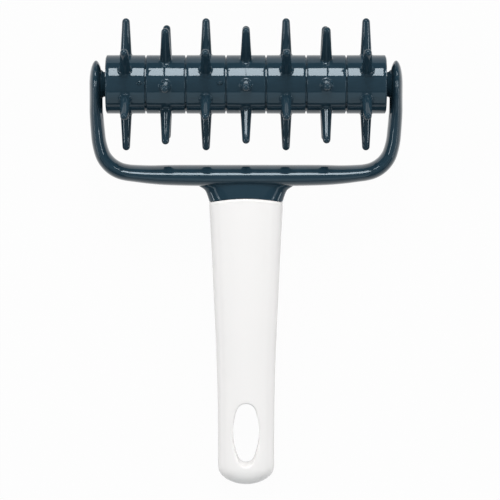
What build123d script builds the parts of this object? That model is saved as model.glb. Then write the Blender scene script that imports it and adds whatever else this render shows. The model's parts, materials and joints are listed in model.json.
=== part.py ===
from build123d import *
import math
import os

# Dough docker: a roller of spiked rings that turns in a two-armed yoke on a tapered handle.
# It is drawn flat first. X runs along the axle, +Y points from the handle to the roller and
# +Z is the face that looks up, with zero at the middle of the axle. Then it is tipped and
# lifted until it lies on a table, on its lowest spikes and on the end of its handle.

# Spiked rings
ring_count = 7
ring_gap = 0.5
hub_gap = 0.1
ring_wall = 2.0
ring_web = 2.2
barrel_diameter = 25.2
barrel_sides = 48
hub_diameter = 12.4
ring_rib_thickness = 1.5
ring_rib_recess = 1.2
spikes_per_ring = 6
spike_reach = 28.4
spike_root_diameter = 4.8
spike_tip_diameter = 3.3
spike_sides = 10

# A spike from its root to its tip. The root flares out by some of its own radius around the
# barrel's surface, and the tip is round: share of the tip's radius risen, and share of it left.
root_flare_share = 0.22
root_sink_share = 0.2
tip_station_shares = ((0.62, 0.79), (1.0, 0.34))

# Hollow ends of a ring
pocket_sides = 18
hub_sides = 6
ribs_per_end = 3

# Axle, a six-sided rod with a round journal at each end
key_sides = 6
axle_flats = 7.0
key_clearance = 0.1
journal_diameter = 6.0
journal_length = 4.6
journal_clearance = 0.05
end_clearance = 0.3

# Turn of the roller as it lies, in degrees: how far the spikes of the second, fourth and sixth
# ring lean to the handle, and where its play on the six-sided rod has left each ring
roller_lean = 5.0
ring_play_angles = (-1.8, 1.8, -1.8, 0.2, -1.8, -0.3, -1.8)

# Yoke
arm_span = 123.3
arm_thickness = 5.7
arm_depth = 14.0
eye_reach = 10.3
boss_diameter = 10.8
boss_rise = 1.225
bar_drop = 34.85
bar_thickness = 9.1
bar_depth = 16.8
collar_width = 32.0
collar_depth = 16.4

# Centre line of one half of the yoke, from the eye down the arm and along the bar to the middle.
# Each row: how far across of the arm's own distance, how far down of the bar's own distance, how
# far the thickness has gone from arm to bar, how far the depth has gone from arm to bar, and how
# much of the eye's extra depth is left.
yoke_station_shares = (
    (1.0, 0.0, 0.0, 0.0, 1.0),
    (1.0, 0.12, 0.0, 0.0, 0.82),
    (1.0, 0.21, 0.01, 0.0, 0.54),
    (0.999, 0.30, 0.05, 0.0, 0.28),
    (0.995, 0.405, 0.09, 0.0, 0.1),
    (0.990, 0.51, 0.12, 0.0, 0.0),
    (0.983, 0.621, 0.15, 0.04, 0.0),
    (0.967, 0.731, 0.21, 0.1, 0.0),
    (0.948, 0.804, 0.28, 0.16, 0.0),
    (0.918, 0.868, 0.35, 0.22, 0.0),
    (0.882, 0.916, 0.40, 0.29, 0.0),
    (0.841, 0.949, 0.42, 0.36, 0.0),
    (0.799, 0.966, 0.43, 0.45, 0.0),
    (0.755, 0.975, 0.46, 0.54, 0.0),
    (0.640, 0.990, 0.66, 0.74, 0.0),
    (0.500, 0.996, 0.90, 0.90, 0.0),
    (0.250, 1.0, 1.0, 1.0, 0.0),
    (0.0, 1.0, 1.0, 1.0, 0.0),
)

# Round top of an eye, at these angles of a quarter turn
eye_angles = (0, 26, 48, 70)

# Collar between bar and handle: how far down from the bar's middle to the seam's sides, how wide
# and how deep
collar_station_shares = (
    (0.0, 1.40, 0.74),
    (0.25, 1.38, 0.78),
    (0.38, 1.29, 0.84),
    (0.46, 1.20, 0.87),
    (0.53, 1.13, 0.90),
    (0.62, 1.085, 0.93),
    (0.78, 1.045, 0.98),
    (1.0, 1.0, 1.0),
    (1.30, 0.985, 1.0),
)

# Seam between collar and handle, an arch seen from the front
seam_drop = 48.65
seam_rise = 2.2
seam_gap = 0.05

# Handle
handle_length = 126.2
handle_width = 32.0
handle_depth = 18.2
handle_end_width = 24.5
handle_end_depth = 13.0
handle_cap_length = 7.8
handle_lip_chamfer = 0.5
handle_wall = 2.4
core_to_hole = 10.0

# Taper of the handle: how far down it, how much of its loss of width is done, and of depth
handle_station_shares = (
    (-0.03, -0.06, -0.04),
    (0.0, 0.0, 0.0),
    (0.10, 0.17, 0.12),
    (0.20, 0.33, 0.26),
    (0.34, 0.53, 0.44),
    (0.48, 0.74, 0.64),
    (0.60, 0.89, 0.82),
    (0.72, 0.97, 0.95),
    (0.83, 1.0, 1.0),
    (0.937, 1.0, 1.0),
)

# Round end of the handle, at these angles of a quarter turn, fuller in depth than in width
cap_angles = (22, 42, 58, 70, 80)
cap_fullness = 0.75

# Ovals are drawn with straight sides. An ellipse has a fullness of 1, a fuller oval has more.
yoke_sides = 16
yoke_fullness = 1.0
handle_sides = 20
handle_fullness = 1.1

# Hanging hole
hole_to_end = 8.6
hole_length = 27.8
hole_width = 11.4
hole_top_radius = 4.2
hole_bottom_radius = 3.6

# Tang of the yoke inside the handle, a ribbed tongue
tang_length = 46.0
tang_clearance = 0.1
tang_rib_thickness = 2.4
tang_rib_pitch = 10.5
tang_rib_count = 4
tang_flange_spacing = 15.0

# One overrun for all cuts
overrun = 2.0

barrel_radius = barrel_diameter / 2
arm_centre = (arm_span + arm_thickness) / 2
bar_centre = bar_drop + bar_thickness / 2
boss_face = arm_span / 2 - boss_rise
stack_length = 2 * (boss_face - end_clearance)
ring_pitch = (stack_length + hub_gap) / ring_count
ring_length = ring_pitch - ring_gap
hub_length = ring_pitch - hub_gap
key_turn = 180 / spikes_per_ring / 2
seam_radius = ((collar_width / 2) ** 2 + seam_rise**2) / (2 * seam_rise)
handle_end = seam_drop + handle_length
hole_drop = handle_end - hole_to_end - hole_length


def oval(width, depth, sides, fullness):
    """Flat oval with its corners on a swollen ellipse, wide along its own x."""
    corners = []
    for step in range(sides):
        turn = 2 * math.pi * step / sides
        across, along = math.cos(turn), math.sin(turn)
        across = math.copysign(abs(across) ** (1 / fullness), across)
        along = math.copysign(abs(along) ** (1 / fullness), along)
        corners.append((across * width / 2, along * depth / 2))
    return make_face(Polyline(*corners, close=True))


def down(drop):
    """Plane square to the handle, a distance down from the axle."""
    return Plane(origin=(0, -drop, 0), x_dir=(1, 0, 0), z_dir=(0, -1, 0))


# Spiked ring, drawn round its own Z

def spike():
    """One spike along +X, built up of bands with flat faces."""
    root_radius = spike_root_diameter / 2
    tip_radius = spike_tip_diameter / 2
    shoulder = spike_reach - tip_radius
    sink = root_sink_share * root_radius
    profile = [
        (barrel_radius - sink - ring_wall / 2, root_radius * (1 + root_flare_share)),
        (barrel_radius - sink, root_radius * (1 + root_flare_share)),
        (barrel_radius + sink, root_radius),
        (shoulder, tip_radius),
    ]
    profile += [(shoulder + up * tip_radius, left * tip_radius) for up, left in tip_station_shares]
    bands = []
    for (low, wide), (high, narrow) in zip(profile, profile[1:]):
        loss = (wide - narrow) * math.cos(math.pi / spike_sides)
        slope = math.degrees(math.atan2(loss, high - low))
        foot = RegularPolygon(wide, spike_sides)
        bands.append(Pos(0, 0, low) * extrude(foot, high - low, taper=slope))
    return Rot(0, 90, 0) * (bands[0] + bands[1:])


def ring_pocket():
    """Cored end of a ring: the room between wall and hub, less the ribs."""
    depth = (ring_length - ring_web) / 2
    outline = RegularPolygon(barrel_radius - ring_wall, pocket_sides)
    outline -= RegularPolygon(hub_diameter / 2, hub_sides)
    rib = Pos(barrel_radius / 2, 0, 0) * Box(barrel_radius, ring_rib_thickness, depth)
    ribs = PolarLocations(0, ribs_per_end) * (Pos(0, 0, -ring_rib_recess) * rib)
    return Pos(0, 0, (ring_length - depth) / 2) * (extrude(outline, depth / 2, both=True) - ribs)


def spiked_ring():
    ring = extrude(RegularPolygon(barrel_radius, barrel_sides), ring_length / 2, both=True)
    ring += PolarLocations(0, spikes_per_ring) * spike()
    pocket = ring_pocket()
    ring -= pocket
    ring -= Rot(180, 0, 0) * pocket
    ring += extrude(RegularPolygon(hub_diameter / 2, hub_sides), hub_length / 2, both=True)
    bore = RegularPolygon(axle_flats / 2 + key_clearance, key_sides, major_radius=False)
    return ring - Rot(0, 0, key_turn) * extrude(bore, ring_length, both=True)


def on_axle(place, turn, flipped=False):
    """Plane square to the axle, its own x turned from +Z towards the handle."""
    lean = math.radians(turn)
    facing = (-1, 0, 0) if flipped else (1, 0, 0)
    return Plane(origin=(place, 0, 0), x_dir=(0, -math.sin(lean), math.cos(lean)), z_dir=facing)


def ring_flipped(index):
    """Every other ring goes on end for end, which turns its spikes half a step."""
    return index % 2 == 0


def ring_turn(index):
    """Angle of a ring's spikes from straight up, leaning to the handle, as the docker lies."""
    half_step = 2 * key_turn if ring_flipped(index) else 0
    return roller_lean + half_step + ring_play_angles[index]


def axle():
    rod = RegularPolygon(axle_flats / 2, key_sides, major_radius=False)
    rod = extrude(rod, stack_length / 2, both=True)
    journals = Cylinder(journal_diameter / 2, stack_length + 2 * journal_length)
    return rod + journals


# Yoke

def yoke_stations():
    """Centre points, thicknesses and depths from the left eye to the right one."""
    half = []
    for across, drop, thicker, deeper, eye in yoke_station_shares:
        thickness = arm_thickness + thicker * (bar_thickness - arm_thickness)
        depth = arm_depth + deeper * (bar_depth - arm_depth)
        depth += eye * (2 * eye_reach - arm_depth)
        half.append((across * arm_centre, -drop * bar_centre, thickness, depth))
    left = [(-x, y, thickness, depth) for x, y, thickness, depth in half]
    return left + half[-2::-1]


def yoke_frame():
    """Arms and bar, a skin over ovals that stand square to the centre line."""
    stations = yoke_stations()
    points = [(x, y, 0) for x, y, thickness, depth in stations]
    line = Spline(*points, tangents=[(0, -1, 0), (0, 1, 0)])
    sections = []
    for point, (x, y, thickness, depth) in zip(points, stations):
        square = Plane(origin=point, x_dir=(0, 0, -1), z_dir=line.tangent_at(point))
        sections.append(square * oval(depth, thickness, yoke_sides, yoke_fullness))
    return loft(sections, ruled=True)


def eye_cap(side):
    """Round upper half of an eye, which the top of the arm runs into."""
    sections = []
    for angle in eye_angles:
        turn = math.radians(angle)
        height = eye_reach * math.sin(turn)
        square = Plane(origin=(side * arm_centre, height, 0), x_dir=(0, 0, -1), z_dir=(0, 1, 0))
        depth = 2 * eye_reach * math.cos(turn)
        sections.append(square * oval(depth, arm_thickness * math.cos(turn), yoke_sides, yoke_fullness))
    return loft([*sections, Vertex(side * arm_centre, eye_reach, 0)], ruled=True)


def boss():
    """Round boss inside the right arm."""
    length = arm_centre - boss_face
    return Pos(boss_face + length / 2, 0, 0) * Rot(0, 90, 0) * Cylinder(boss_diameter / 2, length)


def socket():
    """Blind hole in the right boss for the journal."""
    radius = journal_diameter / 2 + journal_clearance
    length = journal_length + overrun
    return Pos(boss_face + journal_length - length / 2, 0, 0) * Rot(0, 90, 0) * Cylinder(radius, length)


def above_seam(radius):
    """Everything above the arch of the seam."""
    half = handle_width
    block = Pos(0, half - seam_drop - seam_rise - overrun, 0) * Box(2 * half, 2 * half, 2 * half)
    return block - below_seam(radius)


def below_seam(radius):
    """Round bar along Z whose top is the arch of the seam."""
    return Pos(0, -seam_drop - seam_radius, 0) * Cylinder(radius, 2 * handle_width)


def collar():
    run = seam_drop + seam_rise - bar_centre
    sections = []
    for drop, wide, deep in collar_station_shares:
        section = oval(wide * collar_width, deep * collar_depth, handle_sides, handle_fullness)
        sections.append(down(bar_centre + drop * run) * section)
    return loft(sections, ruled=True) - below_seam(seam_radius)


def tang():
    """Web, two flanges and cross ribs, which grow out of the collar and fill the hollow handle."""
    top = seam_drop - overrun
    bottom = seam_drop + tang_length
    middle = -(top + bottom) / 2
    long = bottom - top
    web = Pos(0, middle, 0) * Box(handle_width, long, tang_rib_thickness)
    flange = Box(tang_rib_thickness, long, handle_depth)
    sides = [Pos(x * tang_flange_spacing / 2, middle, 0) * flange for x in (-1, 1)]
    cross = Box(handle_width, tang_rib_thickness, handle_depth)
    rungs = [
        Pos(0, tang_rib_thickness / 2 - bottom + step * tang_rib_pitch, 0) * cross
        for step in range(tang_rib_count)
    ]
    room = handle_skin(handle_wall + tang_clearance, top, bottom)
    return room & (web + sides + rungs)


def yoke():
    body = yoke_frame()
    right = [eye_cap(1), boss()]
    left = [eye_cap(-1), mirror(boss(), Plane.YZ)]
    body = body + right + left + collar() + tang()
    return body - socket() - mirror(socket(), Plane.YZ)


# Handle

def taper_at(drop):
    """Shares of the handle's loss of width and depth, a distance down from the axle."""
    far = (drop - seam_drop) / handle_length
    rows = handle_station_shares
    for above, below in zip(rows, rows[1:]):
        if far <= below[0]:
            break
    part_way = (far - above[0]) / (below[0] - above[0])
    return [a + part_way * (b - a) for a, b in zip(above[1:], below[1:])]


def handle_section(drop, inset):
    narrower, thinner = taper_at(drop)
    width = handle_width - narrower * (handle_width - handle_end_width)
    depth = handle_depth - thinner * (handle_depth - handle_end_depth)
    return down(drop) * oval(width - 2 * inset, depth - 2 * inset, handle_sides, handle_fullness)


def station_drops():
    return [seam_drop + far * handle_length for far, narrower, thinner in handle_station_shares]


def handle_skin(inset, top, bottom):
    """Handle's own taper, set in from its surface, between two distances down."""
    inner = [drop for drop in station_drops() if top < drop < bottom]
    return loft([handle_section(drop, inset) for drop in [top, *inner, bottom]])


def handle_blank():
    """Outside of the handle with its round end, before the seam is cut."""
    drops = station_drops()
    grip = loft([handle_section(drop, 0) for drop in drops])
    sections = [handle_section(drops[-1], 0)]
    for angle in cap_angles:
        turn = math.radians(angle)
        drop = handle_end - handle_cap_length * (1 - math.sin(turn))
        wide = handle_end_width * math.cos(turn)
        deep = handle_end_depth * math.cos(turn) ** cap_fullness
        sections.append(down(drop) * oval(wide, deep, handle_sides, handle_fullness))
    return grip + loft([*sections, Vertex(0, -handle_end, 0)], ruled=True)


def hanging_hole():
    """Egg-shaped bore: a large arc above, a small one below, and long arcs at the sides."""
    half = hole_width / 2
    above = half - hole_top_radius
    below = half - hole_bottom_radius
    apart = hole_length - hole_top_radius - hole_bottom_radius
    whole = apart**2 + above * hole_top_radius + below * hole_bottom_radius
    cross = 4 * above * below
    linear = 2 * whole * (above + below) - cross * (hole_top_radius + hole_bottom_radius)
    fixed = whole**2 - cross * hole_top_radius * hole_bottom_radius
    reach = 2 * fixed / (linear + math.sqrt(linear**2 - 4 * (above - below) ** 2 * fixed))
    side = (reach + half) / 2
    rise = math.sqrt(above * (reach - hole_top_radius))
    fall = apart - rise
    top_x = hole_top_radius * (side - half) / (side - hole_top_radius)
    top_y = rise * side / (side - hole_top_radius)
    low_x = hole_bottom_radius * (side - half) / (side - hole_bottom_radius)
    low_y = -fall * side / (side - hole_bottom_radius)
    egg = make_face(
        [
            ThreePointArc((-top_x, top_y), (0, rise + hole_top_radius), (top_x, top_y)),
            ThreePointArc((top_x, top_y), (half, 0), (low_x, low_y)),
            ThreePointArc((low_x, low_y), (0, -fall - hole_bottom_radius), (-low_x, low_y)),
            ThreePointArc((-low_x, low_y), (-half, 0), (-top_x, top_y)),
        ]
    )
    widest = hole_drop + hole_top_radius + rise
    return Pos(0, -widest, 0) * extrude(egg, handle_depth, both=True)


def handle():
    body = handle_blank() - above_seam(seam_radius - seam_gap)
    lip = body.edges().filter_by_position(Axis.Y, -seam_drop - 2 * seam_rise, 0)
    body = chamfer(lip, handle_lip_chamfer)
    body -= handle_skin(handle_wall, seam_drop - overrun, hole_drop - core_to_hole)
    return body - hanging_hole()


# The docker as it lies on a table

def roller_height():
    """How far the lowest spike tip reaches below the axle."""
    step = 360 / spikes_per_ring
    tip_radius = spike_tip_diameter / 2
    lowest = 0
    for index in range(ring_count):
        off = (180 - ring_turn(index)) % step
        off = math.radians(min(off, step - off))
        lowest = max(lowest, (spike_reach - tip_radius) * math.cos(off) + tip_radius)
    return lowest


def lying_tilt(grip, height):
    """Tilt at which the end of the handle reaches as low as the lowest spike."""
    tilt = 0
    for _ in range(6):
        low = -grip.rotate(Axis.X, tilt).bounding_box().min.Z
        tilt += math.degrees(math.asin((height - low) / handle_end))
    return tilt


pieces = {"yoke": yoke(), "handle": handle()}
tilt = lying_tilt(pieces["handle"], roller_height())
pieces["axle"] = on_axle(0, roller_lean + key_turn - tilt) * axle()
ring = spiked_ring()
for index in range(ring_count):
    place = (index - (ring_count - 1) / 2) * ring_pitch
    stand = on_axle(place, ring_turn(index) - tilt, ring_flipped(index))
    pieces[f"spike_ring_{index + 1}"] = stand * ring

tipped = {name: Rot(tilt, 0, 0) * piece for name, piece in pieces.items()}
space = Compound(list(tipped.values())).bounding_box()
foot = Pos(-space.center().X, -space.center().Y, -space.min.Z)
os.makedirs("parts", exist_ok=True)
for name, piece in tipped.items():
    export_step(foot * piece, f"parts/{name}.step")
axle_line = foot.position
print(f"tilt {tilt:.3f} degrees, axle at y {axle_line.Y:.2f}, z {axle_line.Z:.2f}")
print(f"size {space.size.X:.1f} x {space.size.Y:.1f} x {space.size.Z:.1f}")
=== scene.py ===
# %% [markdown]
# # A dough docker
#
# A dough docker pricks rolled pastry so that it doesn't rise. This one is a roller of seven spiked
# rings that spins between the arms of a dark yoke, on a white handle with a hole to hang it by.
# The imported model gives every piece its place, and this lesson dresses it: each piece is modelled
# again as a smooth mesh over its plain solid, and gets the finish of moulded plastic.

import json
import math

import bmesh
import bpy
from mathutils import Matrix, Vector


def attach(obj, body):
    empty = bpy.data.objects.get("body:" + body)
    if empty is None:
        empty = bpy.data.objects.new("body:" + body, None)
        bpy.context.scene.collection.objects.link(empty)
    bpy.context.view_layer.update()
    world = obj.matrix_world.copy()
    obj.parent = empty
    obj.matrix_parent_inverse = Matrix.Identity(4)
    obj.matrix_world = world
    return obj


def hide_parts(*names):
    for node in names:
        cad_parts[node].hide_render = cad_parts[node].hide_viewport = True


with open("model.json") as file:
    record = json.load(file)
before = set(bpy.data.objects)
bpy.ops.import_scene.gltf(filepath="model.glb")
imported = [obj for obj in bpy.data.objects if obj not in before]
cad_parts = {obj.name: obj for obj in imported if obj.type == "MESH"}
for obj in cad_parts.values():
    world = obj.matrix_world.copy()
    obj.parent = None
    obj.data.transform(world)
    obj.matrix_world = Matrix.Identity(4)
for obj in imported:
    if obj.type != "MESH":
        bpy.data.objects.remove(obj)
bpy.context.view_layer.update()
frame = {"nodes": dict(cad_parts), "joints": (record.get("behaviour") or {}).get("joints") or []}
print("pieces in the packed model:", sorted(frame["nodes"]))

# %% [markdown]
# ## Where the docker lies
#
# It is easiest to draw the docker flat: X along the axle, +Y from the handle to the roller, +Z up
# and zero at the middle of the axle. The real one lies on its lowest spikes and on the end of its
# handle, a few degrees nose up. One matrix takes a drawn point to its place on the table. The
# joint says where the axle is, and the tilt is the one that the solids have.

# %% From drawing to table
mm = 0.001
axle_point = Vector(frame["joints"][0]["pos_m"])
tilt = math.radians(7.512)
lying = Matrix.Translation(axle_point) @ Matrix.Rotation(tilt, 4, "X")
print("axle at", [round(value / mm, 2) for value in axle_point], "mm")

# %% [markdown]
# ## Skins from rows of points
#
# Nearly every piece here is a skin over rows of points, like ribs in a boat: each row goes round
# the piece once, and quads join it to the next row. It could be done with curves and a bevel
# object, but rows keep every edge loop where the shape needs it. Points that meet are merged
# afterwards, so that patches can be drawn on their own.

# %% Helpers for rows
def closed_skin(rows):
    """Quads between rows that each go round once."""
    count = len(rows[0])
    points = [point for row in rows for point in row]
    quads = []
    for upper in range(len(rows) - 1):
        for at in range(count):
            after = (at + 1) % count
            quads.append((upper * count + at, upper * count + after,
                          (upper + 1) * count + after, (upper + 1) * count + at))
    return points, quads


def together(*skins):
    """Several skins as one list of points and one of faces."""
    points, faces = [], []
    for more_points, more_faces in skins:
        start = len(points)
        points += more_points
        faces += [tuple(corner + start for corner in face) for face in more_faces]
    return points, faces


def smooth_share(table, at, column):
    """Value of one column of a table at a place in its first column, on a smooth curve."""
    for low in range(len(table) - 2):
        if at <= table[low + 1][0]:
            break
    else:
        low = len(table) - 2
    before, start, end = table[max(low - 1, 0)], table[low], table[low + 1]
    beyond = table[min(low + 2, len(table) - 1)]
    span = end[0] - start[0]
    leave = (end[column] - before[column]) / (end[0] - before[0]) * span
    arrive = (beyond[column] - start[column]) / (beyond[0] - start[0]) * span
    s = (at - start[0]) / span
    return (start[column] * (2 * s**3 - 3 * s**2 + 1) + leave * (s**3 - 2 * s**2 + s)
            + end[column] * (3 * s**2 - 2 * s**3) + arrive * (s**3 - s**2))


def oval_row(width, depth, fullness, count, centre, across, up):
    """One row of points on a flat oval. A fullness of 1 is an ellipse."""
    row = []
    for step in range(count):
        turn = 2 * math.pi * step / count
        c, s = math.cos(turn), math.sin(turn)
        a = math.copysign(abs(c) ** (1 / fullness), c) * width / 2
        b = math.copysign(abs(s) ** (1 / fullness), s) * depth / 2
        row.append(centre + across * a + up * b)
    return row


X, Y, Z = Vector((1, 0, 0)), Vector((0, 1, 0)), Vector((0, 0, 1))
print("helpers ready")

# %% [markdown]
# ## Turning points into pieces
#
# A piece of the scene is one mesh object. Its mesh is moved to its place and the object stays at
# the origin. It is parented to an empty named after its body, and the solid that it covers is
# hidden.
# Edges sharper than 35 degrees stay sharp, all else is shaded smooth.

# %% Helper for pieces
merge_distance = 0.002
sharp_angle = 35


def new_piece(name, skin, body, node, material, place=lying):
    points, faces = skin
    mesh = bpy.data.meshes.new(name)
    mesh.from_pydata([point * mm for point in points], [], faces)
    net = bmesh.new()
    net.from_mesh(mesh)
    bmesh.ops.remove_doubles(net, verts=net.verts, dist=merge_distance * mm)
    bmesh.ops.recalc_face_normals(net, faces=net.faces)
    net.to_mesh(mesh)
    net.free()
    mesh.shade_smooth()
    mesh.set_sharp_from_angle(angle=math.radians(sharp_angle))
    mesh.transform(place)
    piece = bpy.data.objects.new(name, mesh)
    bpy.context.scene.collection.objects.link(piece)
    mesh.materials.append(material)
    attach(piece, body)
    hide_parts(node)
    print(f"{name}: {len(mesh.polygons)} faces")


# %% [markdown]
# ## Moulded plastic
#
# The yoke and rings are a dark teal plastic, the handle a white one. Both come out of polished
# steel moulds: a glossy skin with a very slight waviness, and a gloss that is a little uneven from
# handling. A flat colour would look like a rendering, so noise moves the roughness, the colour and
# a shallow bump. The noise follows the object, in real sizes, so it stays put in every view.

# %% Plastic finishes
refraction = 1.4
colour_patch, gloss_patch, wave_length = 22, 6, 1.6
wave_strength = 0.5


def plastic(name, colour, darker, rough, rough_spread, wave_height, gloss_tint=(1, 1, 1)):
    material = bpy.data.materials.new(name)
    material.use_nodes = True
    nodes, links = material.node_tree.nodes, material.node_tree.links
    shader = nodes["Principled BSDF"]
    shader.inputs["IOR"].default_value = refraction
    shader.inputs["Specular Tint"].default_value = (*gloss_tint, 1)
    place = nodes.new("ShaderNodeTexCoord")

    def noise(size_mm, detail):
        """Noise with patches of a real size in millimetres."""
        texture = nodes.new("ShaderNodeTexNoise")
        texture.inputs["Scale"].default_value = 1 / (size_mm * mm)
        texture.inputs["Detail"].default_value = detail
        links.new(place.outputs["Object"], texture.inputs["Vector"])
        return texture.outputs["Fac"]

    tint = nodes.new("ShaderNodeMix")
    tint.data_type = "RGBA"
    tint.inputs["A"].default_value = (*darker, 1)
    tint.inputs["B"].default_value = (*colour, 1)
    links.new(noise(colour_patch, 3), tint.inputs["Factor"])
    links.new(tint.outputs["Result"], shader.inputs["Base Color"])

    gloss = nodes.new("ShaderNodeMapRange")
    gloss.inputs["To Min"].default_value = rough - rough_spread
    gloss.inputs["To Max"].default_value = rough + rough_spread
    links.new(noise(gloss_patch, 6), gloss.inputs["Value"])
    links.new(gloss.outputs["Result"], shader.inputs["Roughness"])

    wave = nodes.new("ShaderNodeBump")
    wave.inputs["Strength"].default_value = wave_strength
    wave.inputs["Distance"].default_value = wave_height * mm
    links.new(noise(wave_length, 2), wave.inputs["Height"])
    links.new(wave.outputs["Normal"], shader.inputs["Normal"])
    return material


teal_plastic = plastic(
    "teal_plastic", (0.0165, 0.038, 0.056), (0.013, 0.033, 0.049), 0.06, 0.025, 0.014,
    (0.8, 0.92, 1.0))
white_plastic = plastic(
    "white_plastic", (0.89, 0.87, 0.86), (0.87, 0.855, 0.845), 0.24, 0.03, 0.01, (0.8, 0.8, 0.8))
hidden_plastic = plastic(
    "hidden_plastic", (0.5, 0.5, 0.48), (0.46, 0.46, 0.45), 0.5, 0.05, 0.02)
print("finishes:", [material.name for material in bpy.data.materials])

# %% [markdown]
# ## The axle
#
# The six-sided rod is hidden inside the rings, and its ends in the bosses. Its solid already has
# the right shape, so it stays and only gets a finish.

# %% Axle
axle = frame["nodes"]["axle"]
axle.data.materials.clear()
axle.data.materials.append(hidden_plastic)
print("axle keeps its solid:", len(axle.data.polygons), "faces")

# %% [markdown]
# ## One spiked ring
#
# A ring is a short barrel with six spikes. Cutting or joining cones and a cylinder with a boolean
# would leave a hard line at each root, but a moulded spike flows into the barrel with a small
# round. So each sixth of the barrel is a patch: its outer loop is the edge of the patch, its inner
# loops shrink to a circle round the spike, climb the round at the root, run up the taper and close
# over the tip. The same loop of points carries on all the way.

# %% Ring sizes
ring_length = 16.69
ring_pitch = 17.193
barrel_radius = 12.6
rim_round = 0.4
spikes = 6
spike_reach = 28.4
root_radius = 2.4
root_round = 0.8
tip_radius = 1.65
root_steps = 5
straight_from = 4
patch_steps = 8
line_half_width, line_height = 0.12, 0.015
print("ring of", spikes, "spikes, reach", spike_reach, "mm")

# %% Patch with its spike
def spike_profile():
    """Radius and height over the barrel, from the foot of the root's round to the tip."""
    shoulder = spike_reach - barrel_radius - tip_radius
    profile = []
    for step in range(root_steps + 1):
        turn = math.radians(90 * step / root_steps)
        profile.append((root_radius + root_round * (1 - math.sin(turn)),
                        root_round * (1 - math.cos(turn))))
    for share in (0.12, 0.3, 0.55, 0.8, 1.0):
        profile.append((root_radius + share * (tip_radius - root_radius),
                        root_round + share * (shoulder - root_round)))
    for angle in (18, 36, 54, 70, 82):
        turn = math.radians(angle)
        profile.append((tip_radius * math.cos(turn), shoulder + tip_radius * math.sin(turn)))
    return profile


def on_spike(radius, height, turn):
    """Point on the spike that stands on +X, or on its foot where it follows the barrel."""
    across, along = radius * math.cos(turn), radius * math.sin(turn)
    sink = barrel_radius - math.sqrt(barrel_radius**2 - across**2)
    follow = max(0, 1 - max(0, height - root_round) / straight_from)
    return Vector((barrel_radius + height - sink * follow, across, along))


def spike_patch():
    half_turn = math.pi / spikes
    half_length = ring_length / 2 - rim_round
    edge, turns = [], []
    for side in range(4):
        for step in range(patch_steps):
            s = 1 - 2 * step / patch_steps
            turn = math.pi / 4 + math.pi / 2 * (side + step / patch_steps)
            on_line = side % 2 == 1 and step == patch_steps // 2
            for off in (-1, 0, 1) if on_line else (0,):
                a, b = [(s, 1), (-1, s), (-s, -1), (1, -s)][side]
                b += off * a * line_half_width / half_length
                edge.append((a * half_turn, b * half_length, line_height * (on_line and off == 0)))
                turns.append(turn + off * line_half_width / (root_radius + root_round))
    first_radius = root_radius + root_round
    foot = []
    for turn in turns:
        point = on_spike(first_radius, 0, turn)
        foot.append((math.atan2(point.y, point.x), point.z))
    rows = []
    for share in (0, 0.2, 0.4, 0.6, 0.78, 0.92):
        row = []
        for (angle, along, rise), (foot_angle, foot_along) in zip(edge, foot):
            a = angle + share * (foot_angle - angle)
            row.append(Vector(((barrel_radius + rise) * math.cos(a),
                               (barrel_radius + rise) * math.sin(a),
                               along + share * (foot_along - along))))
        rows.append(row)
    for radius, height in spike_profile():
        rows.append([on_spike(radius + rise, height, turn)
                     for turn, (angle, along, rise) in zip(turns, edge)])
    points, faces = closed_skin(rows)
    last = len(points) - len(edge)
    points.append(Vector((spike_reach, 0, 0)))
    faces += [(last + at, last + (at + 1) % len(edge), len(points) - 1) for at in range(len(edge))]
    return points, faces


print("patch:", len(spike_patch()[1]), "faces")

# %% [markdown]
# The rims of a ring are rounded too. In the photograph a dark line with pale edges shows between
# two rings: that is a narrow groove, and the light that its rounded rims catch. Behind the rim
# comes a small step, on which the rings meet, then the hollow that makes the ring an even wall,
# and the hub on the axle.

# %% Rims, hollow ends and hub
wall = 2.0
web = 2.2
hub_radius = 6.2
bore_radius = 4.2
rim_step, meeting_gap = 0.9, 0.01
hub_proud = 0.2
gate_turn, gate_along = math.radians(33), -6.0
gate_columns, gate_squeeze = 20, 0.6
gate_profile = ((1.4, -0.15), (1.3, 0.1), (1.15, 0.32), (0.95, 0.46), (0.72, 0.5), (0.48, 0.36),
                (0.28, 0.16), (0.1, 0.1))


def ring_end():
    """Everything of one end of a ring beyond the patches, as rows round the axle."""
    half = ring_length / 2
    profile = []
    for angle in (0, 22.5, 45, 67.5, 90):
        turn = math.radians(angle)
        profile.append((barrel_radius - rim_round * (1 - math.cos(turn)),
                        half - rim_round * (1 - math.sin(turn))))
    inside = barrel_radius - wall
    lip = ring_pitch / 2 - meeting_gap
    profile += [(barrel_radius - rim_step, half), (barrel_radius - rim_step, lip),
                (inside + 0.2, lip), (inside, lip - 0.2), (inside, web / 2),
                (hub_radius, web / 2), (hub_radius, half - 0.1),
                (hub_radius - 0.3, half + hub_proud), (bore_radius, half + hub_proud),
                (bore_radius, 0)]
    count = spikes * patch_steps
    turns = [2 * math.pi * (at + 0.5 * patch_steps) / count for at in range(count)]
    return closed_skin([[Vector((radius * math.cos(turn), radius * math.sin(turn), along))
                         for turn in turns] for radius, along in profile])


def gate_mark():
    """Where the plastic went in: a low rounded stub with a dimple, beside one of the spikes."""
    rows = []
    for radius, height in gate_profile:
        row = []
        for step in range(gate_columns):
            turn = 2 * math.pi * step / gate_columns
            angle = gate_turn + gate_squeeze * radius * math.cos(turn) / barrel_radius
            out = barrel_radius + height
            row.append(Vector((out * math.cos(angle), out * math.sin(angle),
                               gate_along + radius * math.sin(turn))))
        rows.append(row)
    points, faces = closed_skin(rows)
    faces.append(tuple(range(len(points) - gate_columns, len(points))))
    return points, faces


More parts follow.
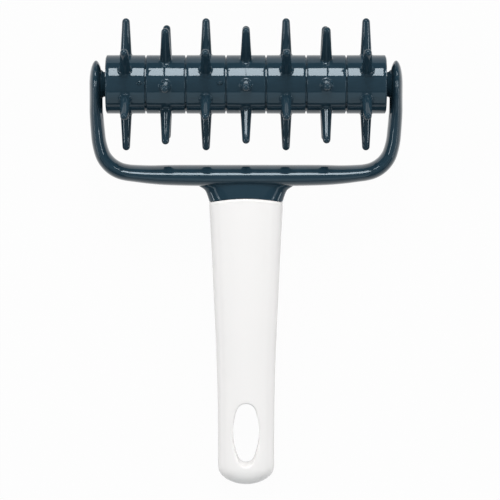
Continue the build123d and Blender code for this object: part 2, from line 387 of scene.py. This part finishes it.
def whole_ring():
    skins = [gate_mark()]
    for spike in range(spikes):
        turned = Matrix.Rotation(2 * math.pi * spike / spikes, 3, "Z")
        points, faces = spike_patch()
        skins.append(([turned @ point for point in points], faces))
    points, faces = ring_end()
    skins.append((points, faces))
    skins.append(([Vector((point.x, point.y, -point.z)) for point in points], faces))
    return together(*skins)


ring_skin = whole_ring()
print("ring:", len(ring_skin[1]), "faces")

# %% [markdown]
# ## Seven rings on the axle
#
# All seven rings are the same moulding. Every other one goes on end for end, which turns its
# spikes by half a step, so the spikes of neighbours stagger. Each can go on the six-sided rod in
# six ways, which only the gate mark tells apart, and a little play on the rod leaves each ring
# turned by a degree or two, as in the photograph.

# %% Place the rings
ring_count = 7
roller_lean = 5.0
play = (-1.8, 1.8, -1.8, 0.2, -1.8, -0.3, -1.8)
sides_round = (0, 3, 0, 2, 3, 3, 2)


def ring_place(index):
    flipped = index % 2 == 0
    half_step = 30 if flipped else 0
    turn = math.radians(roller_lean + half_step + 60 * sides_round[index] + play[index])
    facing = -X if flipped else X
    spike_way = Vector((0, -math.sin(turn), math.cos(turn)))
    side_way = facing.cross(spike_way)
    turned = Matrix((spike_way, side_way, facing)).transposed().to_4x4()
    along = X * (index - ring_count // 2) * ring_pitch * mm
    return Matrix.Translation(axle_point + along) @ turned


for index in range(ring_count):
    new_piece(f"ring_{index + 1}", ring_skin, "roller", f"spike_ring_{index + 1}",
              teal_plastic, ring_place(index))

# %% [markdown]
# ## The yoke's arms and bar
#
# One bent bar of oval section makes both arms and the bar between them. It is thin and narrow at
# the arms, and thicker and deeper where the handle pulls on it. The table gives its centre line
# and how its section changes, from the eye down the arm and along to the middle. The other half
# is its mirror image.

# %% Yoke stations
arm_centre = 64.5
arm_thickness, arm_depth = 5.7, 14.0
bar_centre = 39.4
bar_thickness, bar_depth = 9.1, 16.8
eye_reach = 10.3
stations = (
    (1.0, 0.0, 0.0, 0.0, 1.0),
    (1.0, 0.12, 0.0, 0.0, 0.82),
    (1.0, 0.21, 0.01, 0.0, 0.54),
    (0.999, 0.30, 0.05, 0.0, 0.28),
    (0.995, 0.405, 0.09, 0.0, 0.1),
    (0.990, 0.51, 0.12, 0.0, 0.0),
    (0.983, 0.621, 0.15, 0.04, 0.0),
    (0.967, 0.731, 0.21, 0.1, 0.0),
    (0.948, 0.804, 0.28, 0.16, 0.0),
    (0.918, 0.868, 0.35, 0.22, 0.0),
    (0.882, 0.916, 0.40, 0.29, 0.0),
    (0.841, 0.949, 0.42, 0.36, 0.0),
    (0.799, 0.966, 0.43, 0.45, 0.0),
    (0.755, 0.975, 0.46, 0.54, 0.0),
    (0.640, 0.990, 0.66, 0.74, 0.0),
    (0.500, 0.996, 0.90, 0.90, 0.0),
    (0.250, 1.0, 1.0, 1.0, 0.0),
    (0.0, 1.0, 1.0, 1.0, 0.0),
)


def yoke_table():
    half = []
    for across, drop, thicker, deeper, eye in stations:
        thickness = arm_thickness + thicker * (bar_thickness - arm_thickness)
        depth = arm_depth + deeper * (bar_depth - arm_depth) + eye * (2 * eye_reach - arm_depth)
        half.append((across * arm_centre, -drop * bar_centre, thickness, depth))
    whole = [(-x, y, thickness, depth) for x, y, thickness, depth in half] + half[-2::-1]
    return [(place, *row) for place, row in enumerate(whole)]


print("stations:", len(yoke_table()))

# %% Arms and bar
bar_columns = 32
rows_per_station = 4
eye_angles = (8, 20, 34, 48, 62, 76, 88)


def eye_rows(side):
    """Rows that round off the eye at the end of one arm, from the arm to its tip."""
    rows = []
    for angle in eye_angles:
        turn = math.radians(angle)
        centre = Vector((side * arm_centre, eye_reach * math.sin(turn), 0))
        rows.append(oval_row(2 * eye_reach * math.cos(turn), arm_thickness * math.cos(turn), 1,
                             bar_columns, centre, Z, X * -side))
    return rows


def yoke_bar():
    table = yoke_table()
    steps = rows_per_station * (len(table) - 1)
    at_step = [[smooth_share(table, step / rows_per_station, column) for column in (1, 2, 3, 4)]
               for step in range(steps + 1)]
    rows = eye_rows(-1)[::-1]
    for step, (x, y, thickness, depth) in enumerate(at_step):
        before, after = at_step[max(step - 1, 0)], at_step[min(step + 1, steps)]
        way = Vector((after[0] - before[0], after[1] - before[1], 0)).normalized()
        if step in (0, steps):
            way = Vector((0, -1, 0)) if step == 0 else Y
        centre = Vector((x, y, 0))
        rows.append(oval_row(depth, thickness, 1, bar_columns, centre, Z, Z.cross(way)))
    points, faces = closed_skin(rows + eye_rows(1))
    faces.append(tuple(range(bar_columns - 1, -1, -1)))
    faces.append(tuple(range(len(points) - bar_columns, len(points))))
    return points, faces


print("arms and bar:", len(yoke_bar()[1]), "faces")

# %% [markdown]
# ## Bosses
#
# Inside each arm a short round boss holds the end of the axle. It flares a little where it grows
# out of the arm. A profile spun round the axle is all it takes.

# %% Bosses
def spun(profile, count=40):
    """Skin of a profile of places along X and radii, spun round X."""
    return closed_skin([[Vector((along, radius * math.cos(2 * math.pi * at / count),
                                 radius * math.sin(2 * math.pi * at / count)))
                         for at in range(count)] for along, radius in profile])


boss_face = 60.425
boss_radius = 5.4
socket_radius, socket_depth = 3.05, 4.0
boss_profile = [(boss_face + socket_depth, socket_radius), (boss_face, socket_radius),
                (boss_face, boss_radius - 0.3),
                (boss_face + 0.1, boss_radius - 0.1), (boss_face + 0.3, boss_radius),
                (boss_face + 0.7, boss_radius + 0.02), (boss_face + 1.1, boss_radius + 0.25),
                (boss_face + 1.5, boss_radius + 0.8), (arm_centre, boss_radius + 1.4)]
right_boss = spun(boss_profile)
left_boss = spun([(-along, radius) for along, radius in boss_profile])
print("boss:", len(right_boss[1]), "faces")

# %% [markdown]
# ## The collar
#
# The bar flares into an oval collar that the handle butts against. The seam between them is an
# arch seen from the front, because the handle's end is cut to a curve. The collar's rows start
# level, hidden in the bar, and bend into that arch on their way down.

# %% Collar
seam_drop = 48.65
seam_rise = 2.2
collar_width, collar_depth = 32.0, 16.4
seam_radius = ((collar_width / 2) ** 2 + seam_rise**2) / (2 * seam_rise)
collar_steps = 24
columns, fullness = 48, 1.1
collar_table = (
    (0.0, 1.40, 0.74),
    (0.25, 1.383, 0.77),
    (0.38, 1.321, 0.81),
    (0.46, 1.254, 0.84),
    (0.53, 1.178, 0.86),
    (0.62, 1.108, 0.89),
    (0.78, 1.053, 0.935),
    (1.0, 1.0, 0.99),
)
collar_lip_height = 0.5
collar_lip = ((0.19, 0.04), (0.35, 0.15), (0.46, 0.31), (0.5, 0.5), (0.5, 3.0))


def arch(x):
    """How far the seam has fallen at a distance from the middle."""
    return seam_radius - math.sqrt(max(seam_radius**2 - x**2, 0))


def flat_oval(drop, width, depth, arch_share):
    row = oval_row(width, depth, fullness, columns, Vector((0, -drop, 0)), X, Z)
    return [point - Y * arch(point.x) * arch_share for point in row]


def collar():
    run = seam_drop - bar_centre
    rows = []
    for step in range(collar_steps + 1):
        at = step / collar_steps
        wide, deep = smooth_share(collar_table, at, 1), smooth_share(collar_table, at, 2)
        rows.append(flat_oval(bar_centre + at * (run - collar_lip_height), wide * collar_width,
                              deep * collar_depth, at**2))
    end_depth_share = collar_table[-1][2]
    for lower, inset in collar_lip:
        rows.append(flat_oval(seam_drop - collar_lip_height + lower, collar_width - 2 * inset,
                              end_depth_share * collar_depth - 2 * inset, 1))
    return closed_skin(rows)


new_piece("yoke_moulding", together(yoke_bar(), right_boss, left_boss, collar()),
          "frame", "yoke", teal_plastic)

# %% [markdown]
# ## The handle
#
# The handle is a hollow white moulding. Its oval section narrows in a gentle curve, then runs
# straight to a round end. Two functions give its width and depth at any distance down from the
# axle, and everything else on the handle asks them.

# %% Handle sizes
handle_length = 126.2
handle_width, handle_depth = 32.0, 18.2
end_width, end_depth = 24.5, 13.0
cap_length = 7.8
handle_end = seam_drop + handle_length
taper_table = (
    (-0.03, -0.06, -0.04),
    (0.0, 0.0, 0.0),
    (0.10, 0.17, 0.12),
    (0.20, 0.33, 0.26),
    (0.34, 0.53, 0.44),
    (0.48, 0.74, 0.64),
    (0.60, 0.89, 0.82),
    (0.72, 0.97, 0.95),
    (0.83, 1.0, 1.0),
    (0.937, 1.0, 1.0),
)


def handle_size(drop):
    """Width and depth of the handle, a distance down from the axle."""
    far = min((drop - seam_drop) / handle_length, taper_table[-1][0])
    narrower, thinner = smooth_share(taper_table, far, 1), smooth_share(taper_table, far, 2)
    width = handle_width - narrower * (handle_width - end_width)
    depth = handle_depth - thinner * (handle_depth - end_depth)
    rounding = (drop - (handle_end - cap_length)) / cap_length
    if rounding > 0:
        turn = math.asin(min(rounding, 1))
        width, depth = width * math.cos(turn), depth * max(math.cos(turn), 0) ** 0.75
    return width, depth


def handle_row(drop, inset=0, arch_share=0):
    width, depth = handle_size(drop)
    return flat_oval(drop, max(width - 2 * inset, 0.02), max(depth - 2 * inset, 0.02), arch_share)


print("handle at the seam and before its round end:", handle_size(seam_drop),
      handle_size(handle_end - cap_length))

# %% [markdown]
# ## The hanging hole
#
# The hole is egg-shaped: a larger round above, a smaller one below, and long flat arcs between
# them. Its edge is rounded so that it doesn't cut the hand. A boolean cut would leave a sharp,
# uneven edge, so the hole is a patch too, as on the rings: the outer loop follows the handle's
# own rows and columns, and the inner loops close in on the egg, round over its edge and go
# through to the back.

# %% Outline of the hole
hole_centre = 151.784
hole_half_width = 5.7
top_radius, low_radius, side_radius = 4.2, 3.6, 32.761
top_rise, low_fall = 9.134, 10.866
top_meet, low_meet = 10.477, -12.207
outline_steps = 400


def hole_half(y):
    """Half the hole's width at a height above its widest line."""
    if y > top_meet:
        return math.sqrt(max(top_radius**2 - (y - top_rise) ** 2, 0))
    if y < low_meet:
        return math.sqrt(max(low_radius**2 - (y + low_fall) ** 2, 0))
    return math.sqrt(side_radius**2 - y**2) - (side_radius - hole_half_width)


def hole_outline(shares):
    """Points on the egg at shares of its length round, from the top towards +X and down."""
    top, low = top_rise + top_radius, -low_fall - low_radius
    fine = []
    for step in range(outline_steps + 1):
        y = low + (top - low) * (1 + math.cos(math.pi * step / outline_steps)) / 2
        fine.append((hole_half(y), y))
    lengths = [0]
    for (x0, y0), (x1, y1) in zip(fine, fine[1:]):
        lengths.append(lengths[-1] + math.hypot(x1 - x0, y1 - y0))
    outline = []
    for share in shares:
        mirrored = share > 0.5
        goal = (1 - share if mirrored else share) * 2 * lengths[-1]
        at = min(range(len(fine)), key=lambda step: abs(lengths[step] - goal))
        x, y = fine[at]
        before, after = fine[max(at - 1, 0)], fine[min(at + 1, outline_steps)]
        way = Vector((after[0] - before[0], after[1] - before[1])).normalized()
        out = Vector((-way.y, way.x))
        if at == 0:
            out = Vector((0, 1))
        if at == outline_steps:
            out = Vector((0, -1))
        if mirrored:
            x, out = -x, Vector((-out.x, out.y))
        outline.append((Vector((x, y - hole_centre)), out))
    return outline


print("hole:", [round(value, 1) for value in hole_outline([0.25])[0][0]])

# %% Patch round the hole
patch_columns = 6
patch_top, patch_low = 132.8, 168.9
patch_rows = 18
rim = 0.9


def surface(x, y, side):
    """Point on the front (side 1) or back (side -1) of the handle."""
    width, depth = handle_size(-y)
    share, power = min(abs(x) / (width / 2), 1), 2 * fullness
    return Vector((x, y, side * depth / 2 * (1 - share**power) ** (1 / power)))


def patch_drops():
    """How far down from the axle each row of the patch lies."""
    return [patch_top + (patch_low - patch_top) * step / patch_rows
            for step in range(patch_rows + 1)]


def patch_loop():
    """Outer loop of the patch, from the middle of its top edge towards +X and down."""
    middle = columns // 4
    top, low = handle_row(patch_top), handle_row(patch_low)
    loop = [top[middle - step] for step in range(patch_columns + 1)]
    loop += [handle_row(drop)[middle - patch_columns] for drop in patch_drops()[1:]]
    loop += [low[middle - patch_columns + step] for step in range(1, 2 * patch_columns + 1)]
    loop += [handle_row(drop)[middle + patch_columns] for drop in patch_drops()[-2::-1]]
    loop += [top[middle + patch_columns - step] for step in range(1, patch_columns)]
    return loop


def hole_patch(side):
    loop = [Vector((point.x, point.y)) for point in patch_loop()]
    lengths = [0]
    for start, end in zip(loop, loop[1:] + loop[:1]):
        lengths.append(lengths[-1] + (end - start).length)
    outline = hole_outline([length / lengths[-1] for length in lengths[:-1]])
    rows = []
    for share in (0, 0.25, 0.5, 0.75, 1.0):
        rows.append([surface(*(edge.lerp(egg + out * rim, share)), side)
                     for edge, (egg, out) in zip(loop, outline)])
    for angle in (18, 36, 54, 72, 90):
        turn = math.radians(angle)
        rows.append([surface(*(egg + out * rim * (1 - math.sin(turn))), side)
                     - Z * side * rim * (1 - math.cos(turn)) for egg, out in outline])
    rows.append([Vector((egg.x, egg.y, 0)) for egg, out in outline])
    return closed_skin(rows)


print("hole patch:", len(hole_patch(1)[1]), "faces")

# %% [markdown]
# ## The handle's skin
#
# The rows run from inside the mouth, over a rounded lip with a fine groove under it, down the
# taper and round the end. Where the hole's patches lie, only the sides of the handle get quads.

# %% Handle
wall_thickness = 2.4
lip_profile = ((4.0, wall_thickness), (0.2, wall_thickness), (0.0, 2.2), (0.0, 0.95), (0.06, 0.6),
               (0.24, 0.28), (0.52, 0.08), (0.9, 0.0), (1.25, 0.0), (1.4, 0.08), (1.55, 0.0),
               (1.7, 0.0))
lip_height = lip_profile[-1][0]
taper_steps = 22
end_angles = (22, 32, 42, 52, 61, 69, 76, 82, 86.5)


def handle_skin():
    rows = [handle_row(seam_drop + lower, inset, 1) for lower, inset in lip_profile]
    for step in range(1, taper_steps):
        at = step / taper_steps
        drop = seam_drop + lip_height + at * (patch_top - seam_drop - lip_height)
        rows.append(handle_row(drop, 0, (1 - at) ** 2))
    first = len(rows)
    rows += [handle_row(drop) for drop in patch_drops()]
    last = len(rows) - 1
    for angle in end_angles:
        rows.append(handle_row(handle_end - cap_length * (1 - math.sin(math.radians(angle)))))
    points, faces = closed_skin(rows)
    kept = []
    middle = columns // 4
    for face in faces:
        row, column = face[0] // columns, face[0] % columns
        in_patch = first <= row < last and (
            middle - patch_columns <= column < middle + patch_columns
            or 3 * middle - patch_columns <= column < 3 * middle + patch_columns)
        if not in_patch:
            kept.append(face)
    kept.append(tuple(range(len(points) - columns, len(points))))
    return points, kept


new_piece("handle_moulding", together(handle_skin(), hole_patch(1), hole_patch(-1)),
          "frame", "handle", white_plastic)

# %% [markdown]
# ## Table and light
#
# The docker lies on a white surface. To the camera and in reflections the floor is nearly pure
# white, yet a part of it stays an ordinary matt surface, so the docker keeps its soft shadow.

# %% Floor
floor_reach, floor_drop = 3, 0.0002
matt_grey, white_share = 0.4, 0.97
floor_mesh = bpy.data.meshes.new("table")
floor_mesh.from_pydata([(x * floor_reach, y * floor_reach, 0)
                        for x, y in ((-1, -1), (1, -1), (1, 1), (-1, 1))], [], [(0, 1, 2, 3)])
floor = bpy.data.objects.new("table", floor_mesh)
bpy.context.scene.collection.objects.link(floor)
floor.location.z = -floor_drop

floor_white = bpy.data.materials.new("table_white")
floor_white.use_nodes = True
nodes, links = floor_white.node_tree.nodes, floor_white.node_tree.links
matt = nodes["Principled BSDF"]
matt.inputs["Base Color"].default_value = (matt_grey, matt_grey, matt_grey, 1)
matt.inputs["Roughness"].default_value = 0.9
glow = nodes.new("ShaderNodeEmission")
glow.inputs["Strength"].default_value = 1.0
rays = nodes.new("ShaderNodeLightPath")
seen = rays.outputs["Is Camera Ray"]
for kind in ("Is Glossy Ray", "Is Transmission Ray"):
    either = nodes.new("ShaderNodeMath")
    either.operation = "MAXIMUM"
    links.new(seen, either.inputs[0])
    links.new(rays.outputs[kind], either.inputs[1])
    seen = either.outputs[0]
share = nodes.new("ShaderNodeMath")
share.operation = "MULTIPLY"
share.inputs[1].default_value = white_share
links.new(seen, share.inputs[0])
blend = nodes.new("ShaderNodeMixShader")
links.new(share.outputs[0], blend.inputs[0])
links.new(matt.outputs[0], blend.inputs[1])
links.new(glow.outputs[0], blend.inputs[2])
links.new(blend.outputs[0], nodes["Material Output"].inputs["Surface"])
floor_mesh.materials.append(floor_white)
print("table:", white_share, "white, the rest matt")

# %% [markdown]
# Plastic shows its lamps. The bright band along the rings is a tall soft lamp beyond the roller,
# and the grey band below it a dim wide lamp on the near side. Two short lamps beside the far one
# carry the bar's highlight round its corners. The thin light lines down both sides of the spikes
# and arms are narrow lamps to the left and right, two of them low over the table, and a dim pair
# further round lights the handle. A wide dim lamp overhead and a dark grey world fill the rest.

# %% Lamps and world
lamp_distance = 1.4
over_distance = 1.6
world_grey = 0.08
plain, cool = (1, 1, 1), (0.86, 0.96, 1.0)
# Name, lean from straight up, turn round the docker, distance, width, height, brightness, colour
lamps = (
    ("lamp_beyond", 48.3, 90, lamp_distance, 0.29, 0.76, 16.5, plain),
    ("lamp_over", 0, 90, over_distance, 1.7, 1.7, 0.22, plain),
    ("lamp_near", 56, 270, lamp_distance, 0.8, 1.25, 1.2, cool),
    ("lamp_left", 56, 176, lamp_distance, 0.58, 0.24, 13.5, plain),
    ("lamp_right", 56, 4, lamp_distance, 0.58, 0.24, 13.5, plain),
    ("lamp_low_left", 82, 195, lamp_distance, 0.4, 0.14, 8, plain),
    ("lamp_low_right", 82, 345, lamp_distance, 0.4, 0.14, 8, plain),
    ("lamp_handle_left", 52, 207, lamp_distance, 0.8, 0.2, 2, plain),
    ("lamp_handle_right", 52, 333, lamp_distance, 0.8, 0.2, 2, plain),
    ("lamp_corner_left", 52, 117, lamp_distance, 0.3, 0.16, 16, plain),
    ("lamp_corner_right", 51, 66, lamp_distance, 0.3, 0.16, 16, plain),
)


def lamp(name, lean, around, distance, width, height, brightness, colour):
    """Area lamp that faces the docker."""
    lean, around = math.radians(lean), math.radians(around)
    way = Vector((math.sin(lean) * math.cos(around), math.sin(lean) * math.sin(around),
                  math.cos(lean)))
    light = bpy.data.lights.new(name, "AREA")
    light.shape = "RECTANGLE"
    light.size, light.size_y = width, height
    light.energy = math.pi * width * height * brightness
    light.color = colour
    holder = bpy.data.objects.new(name, light)
    bpy.context.scene.collection.objects.link(holder)
    holder.location = way * distance
    holder.rotation_euler = way.to_track_quat("Z", "Y").to_euler()
    print(f"{name}: {light.energy:.1f} W")


for row in lamps:
    lamp(*row)
world = bpy.data.worlds.new("studio")
bpy.context.scene.world = world
world.use_nodes = True
background = world.node_tree.nodes["Background"]
background.inputs["Color"].default_value = (world_grey, world_grey, world_grey, 1)
background.inputs["Strength"].default_value = 1.0

# %% [markdown]
# ## Camera
#
# The photograph looks straight down from well above, so the docker shows little perspective. The
# distance and lens give 0.43 mm for each pixel of a picture 500 pixels wide.

# %% Camera
camera_place = (0.0017, 0.0013, 1.41)
camera_data = bpy.data.cameras.new("camera")
camera_data.lens = 231.3
camera_data.sensor_width = 36
camera = bpy.data.objects.new("camera", camera_data)
bpy.context.scene.collection.objects.link(camera)
camera.location = camera_place
bpy.context.scene.camera = camera
bpy.context.scene.view_settings.view_transform = "Standard"
print("camera", [round(value, 4) for value in camera.location])

# %% [markdown]
# ## Finish
#
# The dressed docker fills the same space as the solids.

# %% Finish
print("scene dressed")
